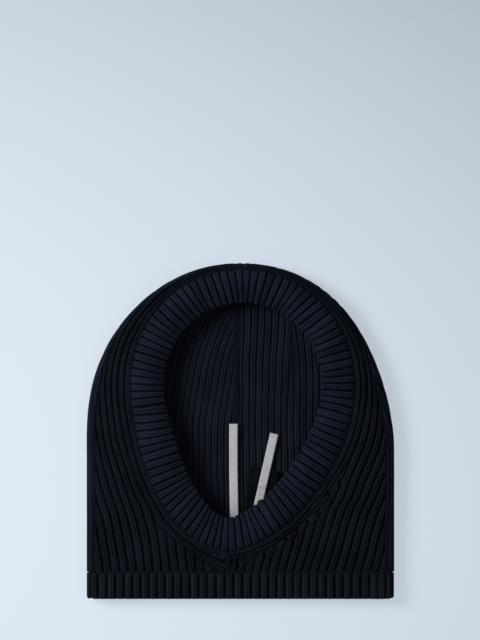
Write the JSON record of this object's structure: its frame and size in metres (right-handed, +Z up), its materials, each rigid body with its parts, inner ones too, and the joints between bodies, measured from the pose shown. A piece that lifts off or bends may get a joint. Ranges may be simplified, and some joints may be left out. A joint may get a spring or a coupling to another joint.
{
  "type": "balaclava",
  "caption": "Rib-knitted balaclava laid flat on its back, with an egg-shaped face opening in a rolled band, a hem band, and tapes and a label sewn inside the neck.",
  "frame": {"origin": "middle of the footprint, on the surface that the garment lies on", "axes": "+X to the right, +Y from the neck hem to the crown, +Z up, out of the face opening"},
  "size_m": [0.265, 0.29, 0.0263],
  "materials": {
    "panel_knit": "coarse rib knit in dark navy wool yarn, matt with a faint fuzz",
    "band_knit": "tighter rib knit in the same dark navy wool yarn, folded double",
    "seam_yarn": "twisted dark navy wool yarn, linked in a chain",
    "woven_tape": "plain grey herringbone twill tape, matt",
    "label_satin": "black woven polyester satin, soft sheen, nothing printed on it"
  },
  "bodies": {
    "hood": {"back_panel": "panel_knit", "front_panel": "panel_knit", "face_band": "band_knit", "hem_band": "band_knit", "side_and_crown_seam": "seam_yarn", "face_band_seam": "seam_yarn", "face_band_join": "seam_yarn", "chin_seam": "seam_yarn", "hem_seam": "seam_yarn", "hem_band_join": "seam_yarn", "label_stitching": "seam_yarn", "long_tape_root": "woven_tape", "short_tape_root": "woven_tape", "care_label_root": "label_satin"},
    "long_tape": {"long_tape_end": "woven_tape"},
    "care_label": {"care_label_end": "label_satin"},
    "short_tape": {"short_tape_end": "woven_tape"}
  },
  "joints": [
    {"name": "long_tape_lift", "type": "hinge", "parent": "hood", "child": "long_tape", "pos_m": [-0.0063, -0.0696, 0.0043], "axis": [1, 0, 0], "range_deg": [0, 85]},
    {"name": "care_label_lift", "type": "hinge", "parent": "hood", "child": "care_label", "pos_m": [0.01677, -0.05555, 0.0041], "axis": [0.7478, 0.6639, 0], "range_deg": [0, 40]},
    {"name": "short_tape_lift", "type": "hinge", "parent": "care_label", "child": "short_tape", "pos_m": [0.01644, -0.05518, 0.0052], "axis": [0.7478, 0.6639, 0], "range_deg": [0, 45]}
  ]
}
